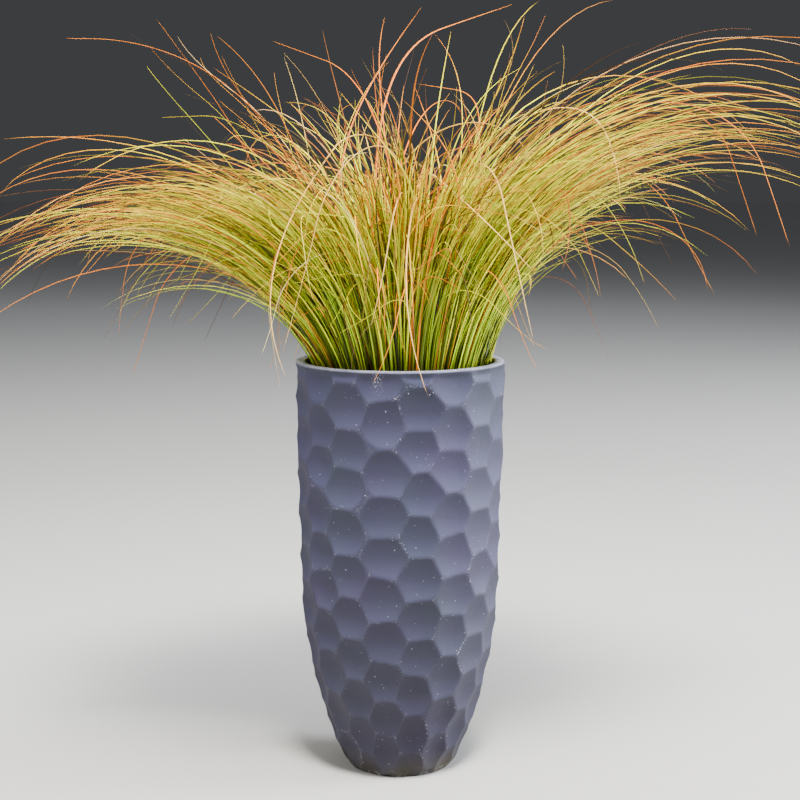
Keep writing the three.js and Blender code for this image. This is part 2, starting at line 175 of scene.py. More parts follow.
# How far a leaf strays from its lock, and how many of them droop
APART_FACING, APART_ROOT, APART_LEAN, APART_TIP, APART_VEER = 5, 12, 3, 14, 10
APART_GROWN, APART_BEND, APART_WAVE = 0.2, 0.1, 11
SHARE_STRETCH, SHARE_APART, SHARE_MOST = 1.08, (0.02, 0.16), 1.14
DROOP_SHARE, DROOP = 0.11, (15, 65)
LOBE_PULL = 1.4
FALL_WAVES, HEADING_WAVES = 7, 5  # radians that the waves of a leaf run through from root to tip
ASIDE_WAVE = 1.5  # how much wider it waves aside than up and down

# Leaves that go their own way
WILD_UPRIGHT, WILD_FULL, WILD_GROWN = (0.2, 1), (0.7, 1), (0.5, 1)
WILD_TIP, WILD_BEND, WILD_VEER, WILD_WAVE = (20, 170), (1.4, 3), (-110, 110), 20
WILD_LEAST = 470  # millimetres that those of a short tuft can grow to as well
WILD_CEILING = 1090
ROOM_MARGIN = 12  # millimetres that an added leaf may reach past the solids' box
FINE_STEPS, FEW_STEPS = 48, 13  # of the growth curve of a leaf that bends sharply, and of a short one

# Widths of added leaves and single strands, and the keel of both beside the width
TINT_SEED = 91
LEAF_WIDTHS, STRAND_WIDTHS, KEEL_SHARE = (1.3, 3.1), (2.8, 3.8), 0.4
TIP_KEEL = 0.4  # the keel thins towards the tip no further than to this share

# Single strands that stand out in front of, above and beside the rest
STRAND_KEYS = ("facing", "root_angle", "root_radius", "lean", "tip", "length", "bend", "veer", "full")
STRANDS = (
    (199, 349, 92, 9, 133, 871, 3.29, 103, 0.53),
    (269, 298, 27, 0, 163, 756, 1.66, -76, 0.78),
    (279, 251, 25, 4, 152, 575, 1.81, -41, 0.78),
    (241, 324, 89, 10, 138, 643, 3.23, 56, 0.55),
    (302, 202, 29, 2, 113, 641, 3.07, -12, 0.55),
    (292, 333, 43, 4, 153, 653, 2.46, 1, 0.69),
    (323, 122, 92, 1, 155, 676, 2.70, 72, 0.78),
    (7, 40, 9, 9, 141, 677, 2.41, -105, 0.84),
    (356, 13, 78, 29, 169, 512, 2.14, 12, 0.98),
    (178, 241, 50, 16, 161, 574, 1.43, -8, 0.81),
    (59, 131, 41, 0, 117, 547, 2.24, 6, 1),
    (354, 342, 88, 20, 160, 733, 3.18, 10, 0.83),
    (341, 329, 17, 26, 158, 821, 2.50, -25, 0.87),
    (90, 193, 106, 11, 37, 602, 1.91, -79, 0.68),
    (89, 139, 57, 0, 71, 685, 2.56, -85, 0.82),
    (72, 74, 39, 4, -54, 503, 1.85, 48, 1),
    (129, 113, 12, 0, 43, 547, 1.51, -56, 0.98),
    (136, 90, 92, 2, 73, 644, 2.9, 1, 0.8),
)
PALE_STRANDS = 8  # the first of them are pale straw; the others are orange
STRAND_TINT = (0.8, 0.68, 0.5)


# Seeded random numbers, the same as the solids are grown by
class Draws:
    """One sequence of numbers for each seed, even or gathered around a middle."""

    def __init__(self, seed):
        self.state = seed
        for _ in range(4):
            self.next()

    def next(self):
        self.state = (self.state * 1664525 + 1013904223) % 4294967296
        return self.state / 4294967296

    def between(self, low, high):
        return low + (high - low) * self.next()

    def near(self, middle, spread):
        return middle + spread * (self.next() + self.next() + self.next() - 1.5) / 1.5


# Small helpers
def clamp(value, low=0.0, high=1.0):
    return min(max(value, low), high)


def linear(red, green, blue):
    """The linear colour of an 8-bit screen colour."""
    return np.array([((c / 255 + 0.055) / 1.055) ** 2.4 if c > 10 else c / 255 / 12.92
                     for c in (red, green, blue)])


def add_piece(name, points, faces, material, smooth=True):
    """A mesh piece from points in millimetres, which rides on the root body."""
    mesh = bpy.data.meshes.new(name)
    mesh.from_pydata((np.asarray(points) * MM).tolist(), [], faces)
    mesh.materials.append(material)
    mesh.polygons.foreach_set("use_smooth", [smooth] * len(mesh.polygons))
    piece = bpy.data.objects.new(name, mesh)
    bpy.context.scene.collection.objects.link(piece)
    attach(piece, "root")
    return piece


def set_point_values(piece, name, values):
    piece.data.attributes.new(name, "FLOAT", "POINT").data.foreach_set("value", np.asarray(values, float))


def set_point_colours(piece, name, colours):
    rgba = np.ones((len(colours), 4))
    rgba[:, :3] = colours
    piece.data.attributes.new(name, "FLOAT_COLOR", "POINT").data.foreach_set("color", rgba.ravel())


def set_uv(piece, point_uv):
    """A UV map from one place for each vertex."""
    layer = piece.data.uv_layers.new(name="OFBake")
    corners = np.empty(len(piece.data.loops), int)
    piece.data.loops.foreach_get("vertex_index", corners)
    layer.data.foreach_set("uv", np.asarray(point_uv, float)[corners].ravel())


# Materials
COLOUR_A, COLOUR_B, COLOUR_RESULT = 6, 7, 2  # the mix node's sockets for colours


class Shader:
    """A material's nodes, made one after another."""

    def __init__(self, name, roughness, specular=0.5):
        self.material = bpy.data.materials.new(name)
        self.material.use_nodes = True
        self.tree = self.material.node_tree
        self.surface = self.tree.nodes["Principled BSDF"]
        self.surface.inputs["Roughness"].default_value = roughness
        self.surface.inputs["Specular IOR Level"].default_value = specular

    def node(self, kind, **settings):
        made = self.tree.nodes.new(kind)
        for key, value in settings.items():
            setattr(made, key, value)
        return made

    def link(self, source, target):
        self.tree.links.new(source, target)

    def feed(self, target, value):
        if isinstance(value, bpy.types.NodeSocket):
            self.link(value, target)
        elif hasattr(value, "__len__") and len(value) == 3:
            target.default_value = (*value, 1) if target.type == "RGBA" else tuple(value)
        else:
            target.default_value = value

    def attribute(self, name, output="Fac"):
        return self.node("ShaderNodeAttribute", attribute_name=name).outputs[output]

    def noise(self, scale, detail=3, roughness=0.55, stretch=(1, 1, 1), place="Object"):
        mapping = self.node("ShaderNodeMapping")
        self.link(self.node("ShaderNodeTexCoord").outputs[place], mapping.inputs["Vector"])
        mapping.inputs["Scale"].default_value = stretch
        texture = self.node("ShaderNodeTexNoise")
        self.link(mapping.outputs["Vector"], texture.inputs["Vector"])
        texture.inputs["Scale"].default_value = scale
        texture.inputs["Detail"].default_value = detail
        texture.inputs["Roughness"].default_value = roughness
        return texture.outputs["Fac"]

    def ramp(self, value, low, high, start=0.0, end=1.0):
        """value from low to high becomes start to end, and no further."""
        made = self.node("ShaderNodeMapRange", clamp=True)
        for socket, number in zip(("Value", "From Min", "From Max", "To Min", "To Max"),
                                  (value, low, high, start, end)):
            self.feed(made.inputs[socket], number)
        return made.outputs["Result"]

    def maths(self, operation, a, b=0.0):
        made = self.node("ShaderNodeMath", operation=operation)
        self.feed(made.inputs[0], a)
        self.feed(made.inputs[1], b)
        return made.outputs["Value"]

    def mix(self, share, a, b, blend="MIX"):
        made = self.node("ShaderNodeMix", data_type="RGBA", blend_type=blend)
        self.feed(made.inputs["Factor"], share)
        self.feed(made.inputs[COLOUR_A], a)
        self.feed(made.inputs[COLOUR_B], b)
        return made.outputs[COLOUR_RESULT]

    def bump(self, height, distance, strength=1.0, under=None):
        made = self.node("ShaderNodeBump")
        self.feed(made.inputs["Height"], height)
        made.inputs["Distance"].default_value = distance
        made.inputs["Strength"].default_value = strength
        if under is not None:
            self.link(under, made.inputs["Normal"])
        return made.outputs["Normal"]


# Screen colours of the planter's clay, of what has settled on it, and of the painted light and shade on its
# dimples and lower wall
SLATE, VIOLET_SLATE, STREAKED, DAMP_AND_SHADE = (40, 46, 63), (54, 48, 74), (38, 48, 56), (28, 22, 36)
PAINTED_SHADE, DUST_AND_PAINTED_LIGHT, RUBBED, WORN = (27, 29, 40), (96, 100, 138), (120, 120, 150), (170, 172, 196)
CHALK, GRIME, CHIPPED = (215, 216, 228), (66, 62, 46), (166, 164, 160)


def make_planter_material():
    """Matt slate fibre clay: mottled, with white bloom on the ridges, a worn rim and a grimy foot; painted
    shade on the dimples' faces that look down, painted light with dust on those that look up, and a lower
    wall darkened by damp and painted shade.
    """
    s = Shader("planter_clay", roughness=0.7, specular=0.35)
    mottle = s.ramp(s.noise(7, detail=4), 0.3, 0.7)
    colour = s.mix(mottle, linear(*SLATE), linear(*VIOLET_SLATE))
    streak = s.ramp(s.noise(16, detail=5, stretch=(1, 1, 0.18)), 0.45, 0.75, 0, 0.35)
    colour = s.mix(streak, colour, linear(*STREAKED))
    # Darker towards the bottom: damp, and painted shade of the leaves above
    colour = s.mix(s.attribute("damp_and_shade"), colour, linear(*DAMP_AND_SHADE))
    # Painted shade on the dimples' faces that look down; painted light, with dust, on those that look up
    slope_dust_and_shading = s.attribute("slope_dust_and_shading")
    colour = s.mix(s.ramp(slope_dust_and_shading, 0.5, 0, 0, 0.4), colour, linear(*PAINTED_SHADE))
    colour = s.mix(s.ramp(slope_dust_and_shading, 0.5, 1, 0, 0.28), colour, linear(*DUST_AND_PAINTED_LIGHT))
    ridge = s.attribute("ridge")
    colour = s.mix(s.ramp(ridge, 0.3, 1, 0, 0.07), colour, linear(*RUBBED))
    patches = s.ramp(s.noise(24, detail=2), 0.58, 0.66, 0, 0.55)
    on_ridges = s.maths("MULTIPLY", patches, s.ramp(ridge, 0.25, 0.8))
    chalky = s.maths("MAXIMUM", on_ridges, s.attribute("chalk"))
    specks = s.ramp(s.noise(480, detail=2, roughness=0.7), 0.57, 0.66)
    bloom = s.maths("MULTIPLY", chalky, specks)
    stray = s.ramp(s.noise(330, detail=1), 0.77, 0.8, 0, 0.6)
    colour = s.mix(s.maths("MAXIMUM", bloom, stray), colour, linear(*CHALK))
    wear = s.maths("MULTIPLY", s.attribute("rim"), s.ramp(s.noise(60, detail=4), 0.25, 0.6, 0.5, 1))
    colour = s.mix(wear, colour, linear(*WORN))
    foot = s.attribute("foot")
    grime = s.maths("MULTIPLY", foot, s.ramp(s.noise(22, detail=5), 0.3, 0.65, 0.2, 1))
    colour = s.mix(grime, colour, linear(*GRIME))
    edge = s.ramp(foot, 0.8, 0.95)
    chips = s.maths("MULTIPLY", edge, s.ramp(s.noise(150, detail=5), 0.5, 0.66, 0, 0.6))
    colour = s.mix(chips, colour, linear(*CHIPPED))
    s.feed(s.surface.inputs["Base Color"], colour)
    s.feed(s.surface.inputs["Roughness"], s.ramp(mottle, 0, 1, 0.62, 0.8))
    coarse = s.bump(s.noise(120, detail=4), 0.0012, 0.35)
    s.feed(s.surface.inputs["Normal"], s.bump(s.noise(900, detail=3), 0.0003, 0.5, under=coarse))
    return s.material


DARK_SOIL, LIGHT_SOIL, SOIL_GRIT = (38, 28, 20), (78, 58, 40), (150, 130, 100)


def make_soil_material():
    """Potting mix: two browns in patches, with pale grit in it."""
    s = Shader("potting_soil", roughness=0.95, specular=0.2)
    colour = s.mix(s.ramp(s.noise(90, detail=5), 0.35, 0.65), linear(*DARK_SOIL), linear(*LIGHT_SOIL))
    colour = s.mix(s.ramp(s.noise(420, detail=2), 0.66, 0.7), colour, linear(*SOIL_GRIT))
    s.feed(s.surface.inputs["Base Color"], colour)
    s.feed(s.surface.inputs["Normal"], s.bump(s.noise(300, detail=5), 0.002, 0.9))
    return s.material


def make_leaf_material():
    """Sedge leaf: its own colour from root to tip, with fine streaks along it."""
    s = Shader("sedge_leaf", roughness=0.5, specular=0.2)
    colour = s.attribute("leaf_colour", "Color")
    streaks = s.ramp(s.noise(90, detail=2, place="UV"), 0.3, 0.7)
    shade = s.mix(streaks, (0.86, 0.84, 0.8), (1, 1, 1))
    s.feed(s.surface.inputs["Base Color"], s.mix(1, colour, shade, "MULTIPLY"))
    return s.material


# Planter: the same wall and the same dimples as the solid, on a fine grid
def outer_radius(z):
    tuck = np.maximum(0, 1 - np.asarray(z, float) / TUCK_HEIGHT) ** TUCK_POWER
    return RIM_RADIUS - WALL_TAPER * (HEIGHT - z) - FOOT_TUCK * tuck


def hollow_radius(z):
    return np.interp(z, HOLLOW_HEIGHTS, outer_radius(np.array(HOLLOW_HEIGHTS))) - WALL


def cell_middles():
    """The places of the dimples on the unrolled wall."""
    draws = Draws(CELL_SEED)
    middles = []
    for row in range(-2, CELL_LAST_ROW + 2):
        for column in range(CELL_COLUMNS):
            across = column * AROUND / CELL_COLUMNS + draws.near(0, CELL_WANDER)
            stagger = 0.5 if column % 2 else 0
            up = CELL_START + (row + stagger) * CELL_PITCH + draws.near(0, CELL_WANDER)
            middles.append((across, up))
    return np.array(middles)


def dimples(angle, z):
    """How deep the wall is pressed in, and how near points are to a ridge and to where three cells meet."""
    across = angle / (2 * math.pi) * AROUND
    squares = []
    for middle_across, middle_up in cell_middles():
        sideways = (across - middle_across + AROUND / 2) % AROUND - AROUND / 2
        squares.append(sideways ** 2 + (z - middle_up) ** 2)
    squares = np.sort(np.array(squares), axis=0)[:4]
    nearest = squares[0]
    blend = np.exp(-(squares - nearest) / RIDGE_SOFTNESS).sum(axis=0)
    soft = nearest - RIDGE_SOFTNESS * np.log(blend)
    bowl = np.maximum(0, 1 - soft / CELL_REACH ** 2)
    fade = np.clip(np.minimum(HEIGHT - z, z + CELL_FADE / 2) / CELL_FADE, 0, 1)
    ridge = np.exp(-(np.sqrt(squares[1]) - np.sqrt(nearest)) / RIDGE_REACH)
    corner = np.exp(-(np.sqrt(squares[2]) - np.sqrt(nearest)) / CORNER_REACH)
    depth = CELL_DEPTH * bowl * fade
    return depth, ridge * fade, corner * fade


def ring_faces(first, second, count):
    """The quads between two rings of points, each given by its first index."""
    return [(first + i, first + (i + 1) % count, second + (i + 1) % count, second + i)
            for i in range(count)]


def soft_least(a, b, softness):
    """The smaller of two lengths, rounded where they meet."""
    return -softness * np.log(np.exp(-a / softness) + np.exp(-b / softness))


def drain_centres():
    turns = [math.pi / 2 + i * 2 * math.pi / DRAIN_COUNT for i in range(DRAIN_COUNT)]
    return [(DRAIN_CIRCLE * math.cos(t), DRAIN_CIRCLE * math.sin(t)) for t in turns]


def plate_with_drains(ring, drains):
    """Triangles of a flat round plate from its rim's places, leaving out the drain holes."""
    flat = [Vector(p) for p in ring]
    edges = [(i, (i + 1) % len(ring)) for i in range(len(ring))]
    for drain in drains:
        start = len(flat)
        flat += [Vector(p) for p in drain]
        edges += [(start + i, start + (i + 1) % len(drain)) for i in range(len(drain))]
    places, _, faces, *_ = delaunay_2d_cdt(flat, edges, [], 0, 1e-4)
    kept = []
    for face in faces:
        middle = sum((places[i] for i in face), Vector((0, 0))) / len(face)
        if all((middle - Vector(c)).length > DRAIN_RADIUS * 0.97 for c in drain_centres()):
            kept.append(tuple(face))
    return kept


def circle_angles(count):
    return np.arange(count) * 2 * math.pi / count


def make_planter(material):
    """Outside from the foot up, over the rim and down the hollow, then the two drained plates."""
    count = PLANTER_COLUMNS
    angles = circle_angles(count)
    heights = np.linspace(0, HEIGHT, PLANTER_ROWS)
    angle, z = np.meshgrid(angles, heights)
    depth, ridge, corner = dimples(angle, z)
    splash_across = (angle - SPLASH_ANGLE) * RIM_RADIUS / SPLASH_WIDTH
    splash = np.exp(-splash_across ** 2 - ((z - SPLASH_HEIGHT) / SPLASH_REACH) ** 2)
    chalk = np.clip(np.maximum(corner * CORNER_CHALK, splash), 0, 1)
    # Painted light and shade: a dimple's face that looks up is lightened (with dust), one that looks down is
    # darkened, more strongly higher up the wall
    dust_and_shading_by_height = 0.15 + 0.85 * z / HEIGHT
    slope_dust_and_shading = np.clip(np.gradient(depth, heights, axis=0) * SLOPE_DUST_AND_SHADING_CONTRAST, -1, 1) * dust_and_shading_by_height / 2 + 0.5
    foot_cone = outer_radius(0) - FOOT_ROUND + z
    rim_cone = RIM_RADIUS - RIM_ROUND + (HEIGHT - z)
    radius = soft_least(outer_radius(z) - depth, foot_cone, FOOT_SOFTNESS)
    radius = soft_least(radius, rim_cone, RIM_SOFTNESS)
    rows = [(radius[i], heights[i], 0.72 * heights[i] / HEIGHT) for i in range(PLANTER_ROWS)]

    mouth = hollow_radius(HEIGHT)
    rounding = [(math.sin(t), math.cos(t)) for t in np.linspace(0, math.pi / 2, RIM_ARC_STEPS)]
    edge = [(mouth + RIM_ROUND * (1 - s), HEIGHT - RIM_ROUND * (1 - c)) for s, c in rounding]
    down = [(hollow_radius(h), h) for h in INSIDE_HEIGHTS]
    for i, (inner, height) in enumerate(edge + down):
        rows.append((np.full(count, inner), height, 0.73 + 0.012 * i))

    points, uv, rim, foot, damp_and_shade = [], [], [], [], []
    for ring_radius, height, v in rows:
        points.append(np.column_stack([ring_radius * np.cos(angles), ring_radius * np.sin(angles),
                                       np.full(count, height)]))
        uv.append(np.column_stack([0.02 + 0.96 * angles / (2 * math.pi), np.full(count, v)]))
        outside = len(rim) < PLANTER_ROWS
        near_rim = outside or height > HEIGHT - INSIDE_WEAR_HEIGHT
        rim.append(clamp(1 - (HEIGHT - height - 0.5) / 2) if near_rim else INSIDE_WEAR)
        foot.append(clamp(1 - height / GRIME_HEIGHT) ** 1.5 if outside else 0)
        # Darker towards the bottom: damp, and painted shade of the leaves above
        damp_and_shade.append(DAMP_AND_SHADE_SHARE * clamp(1 - height / DAMP_AND_SHADE_HEIGHT))
    faces = []
    for row in range(len(rows) - 1):
        faces += ring_faces(row * count, (row + 1) * count, count)

    sides = DRAIN_SIDES
    turns = circle_angles(sides)
    drains = [[(x + DRAIN_RADIUS * math.cos(t), y + DRAIN_RADIUS * math.sin(t)) for t in turns]
              for x, y in drain_centres()]
    total = len(rows) * count
    top_row = (len(rows) - 1) * count
    starts = {}
    for height in (0, FLOOR):
        starts[height] = total
        for drain in drains:
            points.append(np.array([(x, y, height) for x, y in drain]))
            uv.append(np.array([(0.3 + x / 800, 0.95 + y / 2400) for x, y in drain]))
            total += sides
    extra = total - len(rows) * count
    bottom = plate_with_drains(points[0][:, :2].tolist(), drains)
    floor = plate_with_drains(points[len(rows) - 1][:, :2].tolist(), drains)

    def place(index, ring_start, drain_start):
        return ring_start + index if index < count else drain_start + index - count

    faces += [tuple(place(i, 0, starts[0]) for i in reversed(face)) for face in bottom]
    faces += [tuple(place(i, top_row, starts[FLOOR]) for i in face) for face in floor]
    for i in range(DRAIN_COUNT):
        faces += ring_faces(starts[FLOOR] + i * sides, starts[0] + i * sides, sides)

    planter = add_piece("planter_clay", np.concatenate(points), faces, material)
    hidden = np.zeros(len(rows) * count - ridge.size + extra)
    set_point_values(planter, "ridge", np.concatenate([ridge.ravel(), hidden]))
    set_point_values(planter, "chalk", np.concatenate([chalk.ravel(), hidden]))
    set_point_values(planter, "slope_dust_and_shading", np.concatenate([slope_dust_and_shading.ravel(), hidden + 0.5]))
    for name, values in (("rim", rim), ("foot", foot), ("damp_and_shade", damp_and_shade)):
        drained = np.full(extra, values[0])
        set_point_values(planter, name, np.concatenate([np.repeat(values, count), drained]))
    set_uv(planter, np.concatenate(uv))
    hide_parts("planter")


# Soil: fills the hollow, lumpy on top, with the plain hole that the crown stands in
def soil_height(x, y):
    lumps = noise.noise(Vector((x / 16, y / 16, 3.0))) * 2.2
    lumps += noise.noise(Vector((x / 5, y / 5, 9.0))) * 1.1
    return SOIL_LEVEL + 2 + lumps


def make_soil(material):
    """Rings of points up the hollow's wall, over the lumpy top and down into the crown's hole."""
    count, rings = SOIL_COLUMNS, SOIL_RINGS
    angles = circle_angles(count)
    circle = np.column_stack([np.cos(angles), np.sin(angles)])
    hole = circle * CROWN_HOLE + (CROWN_X, 0)
    wall = hollow_radius(SOIL_LEVEL) - FIT_GAP
    points = [np.column_stack([circle * (hollow_radius(FLOOR) - FIT_GAP), np.full(count, FLOOR + FIT_GAP)])]
    for height in SOIL_WALL_HEIGHTS:
        points.append(np.column_stack([circle * (hollow_radius(height) - FIT_GAP), np.full(count, height)]))
    for ring in range(rings):
        share = 1 - ring / (rings - 1)
        flat = hole + (circle * wall - hole) * share
        slope = -4 * max(0, share - 0.7) / 0.3
        heights = [soil_height(x, y) + slope for x, y in flat]
        points.append(np.column_stack([flat, heights]))
    points.append(np.column_stack([hole, np.full(count, CROWN_BOTTOM)]))
    stacked = np.concatenate(points)
    faces = []
    for ring in range(len(points) - 1):
        faces += ring_faces(ring * count, (ring + 1) * count, count)
    faces.append(tuple(reversed(range(count))))
    faces.append(tuple(range((len(points) - 1) * count, len(points) * count)))
    soil = add_piece("potting_soil", stacked, faces, material)
    set_uv(soil, 0.5 + stacked[:, :2] / 300)
    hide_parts("soil")


def make_mulch(material):
    """Crumbs and bark chips that lie on the soil between the crown and the wall."""
    draws = Draws(CRUMB_SEED)
    corners = np.array([(1, 0, 0), (-1, 0, 0), (0, 1, 0), (0, -1, 0), (0, 0, 1), (0, 0, -1)], float)
    sides = [(0, 2, 4), (2, 1, 4), (1, 3, 4), (3, 0, 4), (2, 0, 5), (1, 2, 5), (3, 1, 5), (0, 3, 5)]
    points, faces = [], []
    for _ in range(CRUMBS):
        turn = draws.between(0, 2 * math.pi)
        outward = np.array([math.cos(turn), math.sin(turn)])
        hole = outward * CROWN_HOLE + (CROWN_X, 0)
        wall = outward * (hollow_radius(SOIL_LEVEL) - 4)
        x, y = hole + (wall - hole) * draws.between(0.05, 1)
        size = 0.8 + 3.2 * draws.next() ** 3
        shape = corners * (size * draws.between(0.8, 2.2), size, size * draws.between(0.35, 0.8))
        shape = shape * np.array([[draws.between(0.7, 1.2)] for _ in corners])
        spin = draws.between(0, 2 * math.pi)
        turned = np.column_stack([shape[:, 0] * math.cos(spin) - shape[:, 1] * math.sin(spin),
                                  shape[:, 0] * math.sin(spin) + shape[:, 1] * math.cos(spin), shape[:, 2]])
        start = len(corners) * len(points)
        points.append(turned + (x, y, soil_height(x, y) + size * 0.1))
        faces += [tuple(start + i for i in side) for side in sides]
    stacked = np.concatenate(points)
    mulch = add_piece("soil_crumbs", stacked, faces, material, smooth=False)
    set_uv(mulch, 0.5 + stacked[:, :2] / 300)


# Growth, by the solids' law
def side_at(facing):
    """The numbers of growth for a direction, mixed from those of the two sides that it lies between."""
    turn = ((facing % 360) + 360) % 360
    quarter = int(turn // 90)
    share = math.sin(math.radians(turn - quarter * 90)) ** 2
    a, b = SIDES[quarter], SIDES[(quarter + 1) % 4]
    return {key: a[key] * (1 - share) + b[key] * share for key in a}


def number_at(side, key, share):
    """A side's number for a root at this share of the crown's radius."""
    edge = share ** EDGE_POWER
    return side[key + "_in"] + (side[key + "_edge"] - side[key + "_in"]) * edge


def draw_habit(draws, tuft):
    """How one blade of the tuft grows, by the law of the side that it faces."""
    facing = tuft["facing"] + draws.between(-HALF_SECTOR, HALF_SECTOR)
    side = side_at(facing)
    share = math.sqrt(draws.next())
    habit = dict(
        facing=facing,
        root_angle=math.radians(facing + draws.near(0, ROOT_SPREAD)),
        root_radius=CROWN_RADIUS * share,
        lean=number_at(side, "lean", share) + draws.near(0, LEAN_SPREAD),
        tip=number_at(side, "tip", share) + draws.near(0, TIP_SPREAD),
        grown=1 + draws.near(0, GROWN_SPREAD),
        bend=side["bend"] * (1 + draws.near(0, BEND_SPREAD)),
        veer=draws.near(0, VEER_SPREAD),
        full=1,
        curl=0,
        wave=0,
    )
    habit["length"] = number_at(side, "long", share) * habit["grown"]
    if draws.next() < STRAY_SHARE:
        habit["length"] *= STRAY_LONGER
        habit["lean"] *= STRAY_UPRIGHT
        habit["veer"] *= STRAY_VEERING
    return habit


def growth_line(habit, steps=STEPS):
    """The line that a leaf grows along, from the crown's surface to its tip."""
    share = habit["root_radius"] / CROWN_RADIUS
    x = CROWN_X + habit["root_radius"] * math.cos(habit["root_angle"])
    y = habit["root_radius"] * math.sin(habit["root_angle"])
    z = CROWN_TOP + (CROWN_EDGE - CROWN_TOP) * share
    step = habit["length"] / steps
    lean = max(habit["lean"], 0)
    bow = (habit["tip"] - lean) * habit["grown"]
    line = [(x, y, z)]
    for i in range(steps):
        along = (i + 0.5) / steps
        fall = lean + bow * min(along / habit["full"], 1) ** habit["bend"]
        fall += habit["wave"] * along * math.sin(habit["curl"] + FALL_WAVES * along)
        heading = habit["facing"] + habit["veer"] * along * along
        heading += ASIDE_WAVE * habit["wave"] * along * math.cos(habit["curl"] + HEADING_WAVES * along)
        fall, heading = math.radians(fall), math.radians(heading)
        x += step * math.sin(fall) * math.cos(heading)
        y += step * math.sin(fall) * math.sin(heading)
        z += step * math.cos(fall)
        line.append((x, y, z))
    return np.array(line)


def stays_in_tuft(line, tuft):
    """True if the whole line keeps its distance from both borders of the tuft's sector."""
    least = SECTOR_GAP + BLADE_WIDTH / 2
    for hand in (-1, 1):
        angle = math.radians(tuft["facing"] + hand * HALF_SECTOR)
        inward = (hand * math.sin(angle), -hand * math.cos(angle))
        if np.any((line[:, 0] - CROWN_X) * inward[0] + line[:, 1] * inward[1] <= least):
            return False
    return True


def clears_planter(line):
    """True if the line keeps off the wall and the rim, and hangs down beside them no further than allowed."""
    shares = np.array([0, 0.25, 0.5, 0.75, 1])[:, None, None]
    places = (line[:-1] + (line[1:] - line[:-1]) * shares).reshape(-1, 3)
    radius = np.hypot(places[:, 0], places[:, 1])
    z = places[:, 2]
    outside = (radius > RIM_RADIUS + RIM_CLEARANCE) & (z > SOIL_LEVEL - HANG)
    inside = radius < RIM_RADIUS - WALL - RIM_CLEARANCE
    return bool(np.all((z > HEIGHT + RIM_CLEARANCE) | inside | outside))


def clear_of(stations, others):
    """True if no stretch of a blade comes too near to a stretch of another blade of its tuft."""
    if not others:
        return True
    a, b = stations[:-1, None], stations[1:, None]
    c = np.concatenate([other[:-1] for other in others])[None]
    d = np.concatenate([other[1:] for other in others])[None]
    ab, cd, ca = b - a, d - c, a - c
    aa, cc, ac = (ab * ab).sum(-1), (cd * cd).sum(-1), (ab * cd).sum(-1)
    pa, pc = (ab * ca).sum(-1), (cd * ca).sum(-1)
    spread = aa * cc - ac * ac
    wide = spread > 1e-9
    s = np.where(wide, np.clip((ac * pc - cc * pa) / np.where(wide, spread, 1), 0, 1), 0)
    t = np.clip((ac * s + pc) / cc, 0, 1)
    s = np.clip((ac * t - pa) / aa, 0, 1)
    gap = np.linalg.norm(ca + ab * s[..., None] - cd * t[..., None], axis=-1)
    return bool(gap.min() >= BLADE_WIDTH + BLADE_APART)


def grow_solid_blades(draws, tuft):
    """The blades of the tuft's solid, drawn and redrawn as they are there."""
    grown, kept = [], []
    for _ in range(tuft["blades"]):
        for _ in range(TRIES):
            habit = draw_habit(draws, tuft)
            line = growth_line(habit)
            rings = SHORT_RINGS if habit["length"] < SHORT else LONG_RINGS
            stations = line[list(rings)]
            if stays_in_tuft(line, tuft) and clears_planter(line) and clear_of(stations, kept):
                kept.append(stations)
                grown.append((habit, line))
                break
    for numbers in LONG_BLADES:
        habit = dict(zip(LONG_KEYS, numbers), grown=1, full=1, curl=0, wave=0)
        if habit["tuft"] == tuft["name"]:
            habit["root_angle"] = math.radians(habit["root_angle"])
            grown.append((habit, growth_line(habit)))
    return grown


ROOM = [np.array(corner) / MM + sign * ROOM_MARGIN for corner, sign in zip(cad_box, (-1, 1))]


def within_box(line, ceiling):
    """True if the line stays near the solids' box and below the ceiling."""
    return bool(np.all(line > ROOM[0]) and np.all(line < ROOM[1]) and np.all(line[:, 2] < ceiling))


def draw_lock(draws, tuft):
    """What the leaves of one lock share, as offsets from the growth law."""
    return dict(
        facing=tuft["facing"] + draws.between(-HALF_SECTOR, HALF_SECTOR),
        share=math.sqrt(draws.next()),
        lean=draws.near(*LOCK_LEAN),
        tip=draws.near(*LOCK_TIP),
        length=tuft["trim"] * (LOCK_LEAST + LOCK_SPAN * draws.next() ** LOCK_POWER),
        bend=draws.near(*LOCK_BEND),
        veer=draws.near(*LOCK_VEER),
        warmth=draws.near(*LOCK_WARMTH),
        shade=draws.between(*LOCK_SHADE),
        left=LOCK_FEWEST + int(LOCK_MORE * draws.next()),
    )


def drawn_to_lobes(facing):
    """The direction of a leaf that the heavy lobes on the right and the left pull along with them."""
    turn = facing % 180
    aside = turn if turn < 90 else turn - 180
    return facing - aside + math.copysign(90 * (abs(aside) / 90) ** LOBE_PULL, aside)


